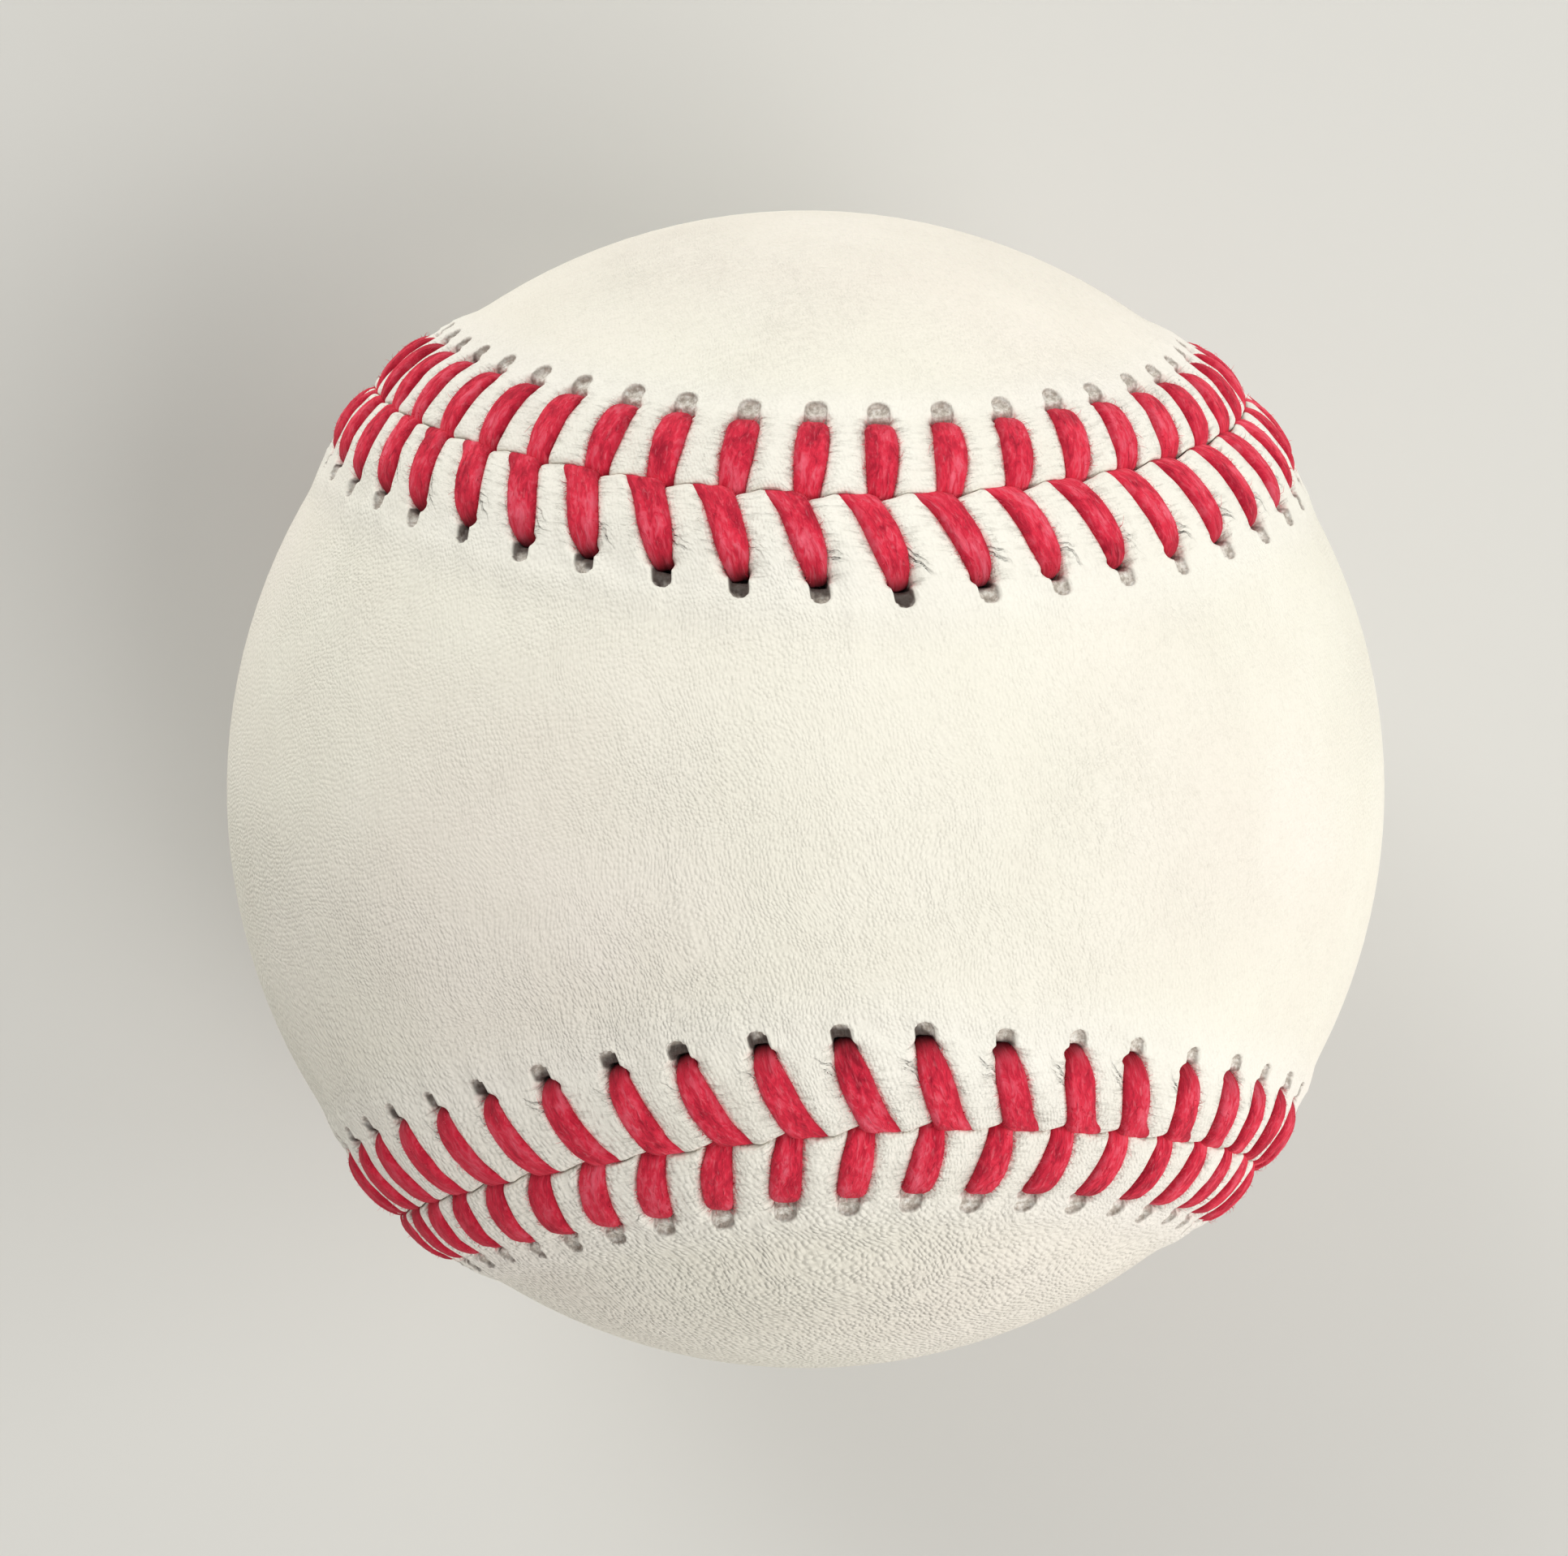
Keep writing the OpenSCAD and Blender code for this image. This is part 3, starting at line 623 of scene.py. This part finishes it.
def cover_panel(side, name):
    """One panel as a closed mesh: its cut edge, its stitched border and its middle, outside and in."""
    u = (np.arange(STITCHES)[:, None] + SHARES[None]).ravel()
    facts = leg_facts(u, side)
    wander, gape = seam_wander(u, side)
    rows_v = [share * facts.reach for share in ROWS_IN + ROWS_HOLE]
    rows_v += [facts.reach + extra for extra in ROWS_OUT]
    points, marks = [], []
    first_height, first_marks = relief(u, rows_v[0], side)
    wall_top = BALL_R + np.minimum(0.05, first_height - 0.04)
    edge_v = gape + wander
    edge_place = on_ball(leg_s(facts, edge_v), edge_v, side)
    for share in ROWS_WALL:
        points.append((HIDE_R + share * (wall_top - HIDE_R))[:, None] * edge_place)
        marks.append({**first_marks, "seam": 0 * u})
    for flat_v in rows_v:
        height, mark = relief(u, flat_v, side)
        v = flat_v + edge_v * (1 - smooth(0, 1.0, flat_v))
        place = on_ball(leg_s(facts, v), v, side)
        lumps = 0.035 * lattice_noise(place * BALL_R, 2.3, 3) + 0.02 * lattice_noise(place * BALL_R, 0.8, 4)
        fold = np.stack([u * 5.2, v * 1.1, 0 * u + 3 * side], -1)
        lumps += 0.05 * lattice_noise(fold, 1.0, 12) * smooth(0, 0.4, v)
        lumps *= 1 - smooth(0.5, 2.5, v - facts.reach)
        points.append((BALL_R + height + lumps)[:, None] * place)
        marks.append(mark)
    pts = np.concatenate(points)
    quads = [join_rows(r * COLS, (r + 1) * COLS, COLS) for r in range(len(points) - 1)]
    coarse_u = np.arange(COARSE) / PER_STITCH
    coarse = leg_facts(coarse_u, side)
    # the middle of a lobe's end, in coarse columns
    tip = round((STITCHES / 4 if side > 0 else 0) * PER_STITCH - 2.1)
    rings = [(BALL_R, coarse.reach + BARE_FROM), (HIDE_R, 0 * coarse_u + 1.5), (HIDE_R, coarse.reach + 0.5)]
    rings = [r * on_ball(leg_s(coarse, v), v, side) for r, v in rings]
    outer, inner = len(pts), len(pts) + COARSE
    pts = np.concatenate([pts, *rings])
    tris = [thin_rows(outer - COLS, outer, COLS, COARSE), thin_rows(0, inner, COLS, COARSE)[:, ::-1]]
    quads.append(join_rows(inner, inner + COARSE, COARSE)[:, ::-1])
    for ring, rungs, radius, turn in ((outer, RUNGS_OUT, BALL_R, 1), (inner + COARSE, RUNGS_IN, HIDE_R, -1)):
        new, four, three = rung_middle(pts, ring, COARSE, tip, rungs, radius, len(pts))
        pts = np.concatenate([pts, new])
        quads.append(four[:, ::turn])
        tris.append(three[:, ::turn])
    quads, tris = (np.concatenate(f)[:, ::side] for f in (quads, tris))
    # what bare leather, far from any leg, has for each
    away = {"edge": 0.6, "beside": 1.5, "past": BARE_FROM, "seam": 3.0, "shade": 0.0, "lee": 3.0,
            "pulled": 0.0}
    spare = len(pts) - len(points) * COLS
    marks = {key: np.concatenate([m[key] for m in marks] + [np.full(spare, value)])
             for key, value in away.items()}
    return add_piece(name, name, pts, [quads, tris], COWHIDE, marks)


cover_panel(1, "upper_cover_panel")
cover_panel(-1, "lower_cover_panel")

# The thread: points along and around a leg, its beak's length, and the powers of its flat section,
# which are 1 for an ellipse
RINGS, SIDES = 34, 24
BEAK = 0.7
FLAT_X, FLAT_Y = 0.62, 0.8


def needle_legs(first, side):
    """Numbers of the legs that one needle lays on one side: every second one."""
    own = np.arange(STITCHES)
    return own[(own + (0 if side > 0 else 1)) % 2 == first].astype(float)


def leg_rings(i, side):
    """Centres of a leg's rings, their width and height directions and half widths,
    their distances from the seam, how far they spread and beak there, and the facts.

    Near the seam the width direction swings round to the seam's own, and a
    neck-side leg spreads along it into a beak on the side away from its lean.
    """
    facts = Leg(*(fact[:, None] for fact in leg_facts(i, side)))
    far, near = arch(facts)
    x = np.cos(np.linspace(0.02, math.pi - 0.02, RINGS))
    x = np.sign(x) * (1 - (1 - np.abs(x)) ** 1.15)
    v = (far + near) / 2 + (far - near) / 2 * x[None]
    here, _, across = leg_axes(i[:, None] + 0 * v, v, side)
    _, ahead, _ = seam_frame(leg_s(facts, v))
    root = (1 - smooth(0.0, 1.5, v - near))[..., None]
    across *= np.sign(np.sum(ahead * across, -1))[..., None]
    wide = unit((1 - root) * across + root * ahead)
    spread = root[..., 0] ** 2 * facts.neck
    half = leg_width(v, facts) / 2 / np.clip(np.sum(wide * across, -1), 0.55, 1) * (1 + 0.3 * spread)
    beak = BEAK * facts.neck * (1 - smooth(0.0, 0.95, v - near)) ** 1.5
    centre = (BALL_R + arch_height(v, facts))[..., None] * here + (0.16 * spread)[..., None] * ahead
    path = unit(np.gradient(centre, axis=1))
    up = unit(np.cross(path, across))
    up *= np.sign(np.sum(up * here, -1, keepdims=True) + 1e-9)
    return centre, wide, up, half, v, spread, beak, facts


def tube_faces():
    """Faces of one leg: its skin, and a fan to the middle of each end."""
    skin = np.concatenate([join_rows(r * SIDES, (r + 1) * SIDES, SIDES) for r in range(RINGS - 1)])
    j = np.arange(SIDES)
    k = (j + 1) % SIDES
    last, middle = (RINGS - 1) * SIDES, RINGS * SIDES
    fans = [np.stack([np.full(SIDES, middle), k, j], 1),
            np.stack([np.full(SIDES, middle + 1), last + j, last + k], 1)]
    return skin, np.concatenate(fans)


def every_point(values, n):
    """Values of n legs, their rings or their rings' points, for each point of their tubes."""
    full = np.broadcast_to(values, (n, RINGS, SIDES)).reshape(n, -1)
    return np.concatenate([full, full[:, :1], full[:, -1:]], 1).ravel()


def needle_thread(name, material, first):
    """One needle's thread: each leg a closed tube of rings with a flat section, a
    furrow between its strands and a rough skin."""
    points, quads, tris = [], [], []
    marks = {k: [] for k in ("along", "across", "end", "leg")}
    base = 0
    phi = np.linspace(0, 2 * math.pi, SIDES, endpoint=False)
    skin, fans = tube_faces()
    for side in (1, -1):
        own = needle_legs(first, side)
        centre, wide, up, half, v, spread, beak, facts = leg_rings(own, side)
        n = len(own)
        # flat section with round edges; two strands leave a shallow furrow on top
        cx = np.sign(np.cos(phi)) * np.abs(np.cos(phi)) ** FLAT_X
        cy = np.sign(np.sin(phi)) * np.abs(np.sin(phi)) ** FLAT_Y
        swell = 1 + 0.05 * lattice_noise(centre, 1.1, 21)
        furrow_at = rng.uniform(-0.35, 0.35, n)[:, None, None]
        furrow_turn = rng.uniform(-0.3, 0.3, n)[:, None, None]
        furrow_at = furrow_at + furrow_turn * np.linspace(-1, 1, RINGS)[None, :, None]
        deep = rng.uniform(0.0, 0.16, n)[:, None, None]
        furrow = 1 - deep * np.exp(-((cx - furrow_at) / 0.16) ** 2) * (cy > 0)
        thick = THREAD_T / 2 * (1 - 0.12 * smooth(0.6, 1.1, v / facts.reach))
        thin = 1 - 0.55 * spread[..., None] * np.maximum(cx, 0) ** 2
        sideways = (half * swell)[..., None] * cx + beak[..., None] * np.maximum(cx, 0) ** 2
        lift = 0.3 * beak[..., None] * np.maximum(cx, 0)
        ring = centre[:, :, None] + sideways[..., None] * wide[:, :, None]
        ring = ring + lift[..., None] * centre[:, :, None] / BALL_R
        ring = ring + (thick * swell)[..., None, None] * (cy * furrow * thin)[..., None] * up[:, :, None]
        rough = 0.022 * lattice_noise(ring, 0.3, 31) + 0.014 * lattice_noise(ring, 0.14, 32)
        ring = ring + rough[..., None] * unit(ring - centre[:, :, None])
        ends = centre[:, [0, -1]]
        block = np.concatenate([ring.reshape(n, -1, 3), ends], 1)
        points.append(block.reshape(-1, 3))
        size = block.shape[1]
        offsets = base + np.arange(n)[:, None, None] * size
        quads.append((skin[None, :, ::side] + offsets).reshape(-1, 4))
        tris.append((fans[None, :, ::side] + offsets).reshape(-1, 3))
        base += n * size
        # painted shade, darker where the leg dives in its hole, at the seam and at its beak's tip, most in
        # the neck-side holes towards -X
        far, near = arch(facts)
        spot_shade = facts.neck * (1 - smooth(-0.05, 0.42, centre[:, :1, 0] / BALL_R))
        tail = smooth(-0.35, 0.2, v - far) * (0.25 + 0.4 * spot_shade) + 0.25 * smooth(-1.3, -0.1, v - far)
        root = 0.55 * smooth(0.3, -0.2, v - near)
        tip = (0.8 * smooth(0.7, 0.0, v - near) * facts.neck)[..., None] * smooth(0.55, 1.0, cx)
        painted_shade = np.clip(np.maximum(np.maximum(tail, root)[..., None], tip), 0, 1)
        # what sets each leg's pattern apart from the others'
        own_place = own * 1.37 + (5.1 if side > 0 else 0)
        marks["along"].append(every_point(v[:, :, None], n))
        marks["across"].append(every_point(half[..., None] * cx, n))
        marks["end"].append(every_point(painted_shade, n))
        marks["leg"].append(every_point(own_place[:, None, None], n))
    faces = [np.concatenate(quads), np.concatenate(tris)]
    return add_piece(name, name, np.concatenate(points), faces, material,
                     {k: np.concatenate(m) for k, m in marks.items()})


needle_thread("first_needle_thread", THREAD[0], 0)
needle_thread("second_needle_thread", THREAD[1], 1)


# The fuzz: hairs on each leg, the share of them on its top, and their half widths from foot to tip
HAIRS, ON_TOP = 128, 0.3
HAIR_RADII = np.array([0.015, 0.011, 0.004])
THIRDS_OF_TURN = (0, 2.0944, 4.1888)


def fuzz(name, first):
    """Short hairs that stand off the edges and the top of the legs: each is a
    bent three-sided spike through three points, its foot, its middle and its tip."""
    spines = []
    for side in (1, -1):
        own = needle_legs(first, side)
        centre, wide, up, half, *_ = leg_rings(own, side)
        n = len(own)
        size = n, HAIRS
        ring = rng.integers(3, RINGS - 3, size)
        row = np.arange(n)[:, None]
        top = rng.uniform(0, 1, size) < ON_TOP
        top_angle = rng.uniform(0.5, math.pi - 0.5, size)
        edge_angle = np.where(rng.uniform(0, 1, size) < 0.5, 0, math.pi)
        angle = np.where(top, top_angle, edge_angle + rng.uniform(-0.15, 0.5, size))
        c, s = np.cos(angle), np.sin(angle)
        out = unit(c[..., None] * wide[row, ring] + np.abs(s)[..., None] * up[row, ring])
        to_edge = half[row, ring] * np.sign(c) * np.abs(c) ** FLAT_X
        to_top = 0.96 * THREAD_T / 2 * np.abs(s) ** FLAT_Y
        foot = centre[row, ring] + to_edge[..., None] * wide[row, ring] + to_top[..., None] * up[row, ring]
        path = unit(np.gradient(centre, axis=1))[row, ring]
        lean = rng.normal(0, 0.7, (n, HAIRS, 1)) * path + rng.normal(0, 0.25, (n, HAIRS, 3))
        length = rng.gamma(2.4, 0.06, (n, HAIRS, 1)).clip(0.07, 0.42)
        mid = foot + (out + 0.4 * lean) * length * 0.5
        tip = foot + (0.8 * out + lean) * length
        spines.append(np.stack([foot, mid, tip], -2).reshape(-1, 3, 3))
    spines = np.concatenate(spines)
    m = len(spines)
    axis = unit(spines[:, 2] - spines[:, 0])
    a = unit(np.cross(axis, rng.normal(0, 1, (m, 3))))
    b = np.cross(axis, a)
    ring = np.stack([math.cos(t) * a + math.sin(t) * b for t in THIRDS_OF_TURN], 1)
    pts = spines[:, :, None] + HAIR_RADII[None, :, None, None] * ring[:, None]
    skin = np.concatenate([join_rows(0, 3, 3), join_rows(3, 6, 3)])
    caps = np.array([[2, 1, 0], [6, 7, 8]])
    offsets = np.arange(m)[:, None, None] * 9
    faces = [(skin[None] + offsets).reshape(-1, 4), (caps[None] + offsets).reshape(-1, 3)]
    return add_piece(name, None, pts.reshape(-1, 3), faces, FUZZ)


fuzz("first_needle_fuzz", 0)
fuzz("second_needle_fuzz", 1)

# Floor, light and camera, in metres
FLOOR_HALF, FLOOR_GAP = 1.5, 0.0001
floor_mesh = bpy.data.meshes.new("floor")
corners = [(x * FLOOR_HALF, y * FLOOR_HALF, 0) for x, y in ((-1, -1), (1, -1), (1, 1), (-1, 1))]
floor_mesh.from_pydata(corners, [], [(0, 1, 2, 3)])
floor = bpy.data.objects.new("floor", floor_mesh)
floor.location.z = -BALL_R * MM - FLOOR_GAP
paint = new_finish("pale_paint")
floor_mesh.materials.append(paint("OutputMaterial", {0: paint("BsdfPrincipled", {
    "Base Color": linear("#d9d7d2"), "Roughness": 0.9, "Specular IOR Level": 0.1})}))
bpy.context.scene.collection.objects.link(floor)

# An even pale surround: a weak light on the ball, and a pale backdrop where it is seen or mirrored.
world = bpy.data.worlds.new("studio")
bpy.context.scene.world = world
room = new_finish(world)
seen, mirrored, passed = (room("LightPath", {}, ray) for ray in (
    "Is Camera Ray", "Is Glossy Ray", "Is Transmission Ray"))
seen = room("Math", {0: seen, 1: mirrored}, operation="MAXIMUM")
seen = room("Math", {0: seen, 1: passed}, operation="MAXIMUM")
strength = room("MapRange", {0: seen, 3: 0.4, 4: 0.8})
room("OutputWorld", {0: room("Background", {0: linear("#f7f7f5"), 1: strength})})

# the photo's view: the camera's right, up and back directions, how many ball radii away it is,
# and its focal length and shift in pixels of a frame 1932 pixels wide
VIEW_RADII = 3.8
FRAME_PX, FOCAL_PX, SHIFT_PX = 1932, 2614.6, (-26.67, 13.8)
FILM_MM = 36.0
RIGHT = np.array([0.99200, -0.02128, 0.12441])
UP = np.array([0.02624, 0.99892, -0.03839])
BACK = np.array([-0.12346, 0.04135, 0.99149])


def place(obj, position, right, up, back):
    """Puts an object at a position with its X, Y and Z axes along three directions."""
    m = Matrix([[right[k], up[k], back[k], position[k]] for k in range(3)] + [[0, 0, 0, 1]])
    obj.matrix_world = m
    bpy.context.scene.collection.objects.link(obj)


LAMP_AWAY, LAMP_SIZE = 0.8, 0.35
COOL, WARM = (0.98, 1.0, 0.985), (1.0, 0.99, 0.975)


def area_light(name, direction, power, tint):
    """A square lamp that looks at the ball; direction is right, up, back in the photo's view."""
    lamp = bpy.data.lights.new(name, "AREA")
    lamp.size = LAMP_SIZE
    lamp.energy = power
    lamp.color = tint
    d = direction[0] * RIGHT + direction[1] * UP + direction[2] * BACK
    d = d / np.linalg.norm(d)
    side = unit(np.cross(UP, d))
    place(bpy.data.objects.new(name, lamp), d * LAMP_AWAY, side, np.cross(d, side), d)


area_light("right_lamp", (0.94, 0.0, 0.34), 2.07, COOL)
area_light("front_lamp", (0.5, -0.4, 0.77), 2.1, WARM)
area_light("upper_left_lamp", (-0.45, 0.66, 0.6), 2.26, COOL)
area_light("top_lamp", (-0.2, 0.93, 0.12), 1.85, COOL)
area_light("lower_lamp", (0.45, -0.83, 0.33), 0.8, WARM)

camera_data = bpy.data.cameras.new("camera")
camera_data.sensor_fit = "HORIZONTAL"
camera_data.sensor_width = FILM_MM
camera_data.lens = FILM_MM * FOCAL_PX / FRAME_PX
camera_data.clip_start = 0.01
camera_data.shift_x, camera_data.shift_y = (shift / FRAME_PX for shift in SHIFT_PX)
camera = bpy.data.objects.new("camera", camera_data)
place(camera, BACK * VIEW_RADII * BALL_R * MM, RIGHT, UP, BACK)
bpy.context.scene.camera = camera
bpy.context.scene.view_settings.view_transform = "Standard"
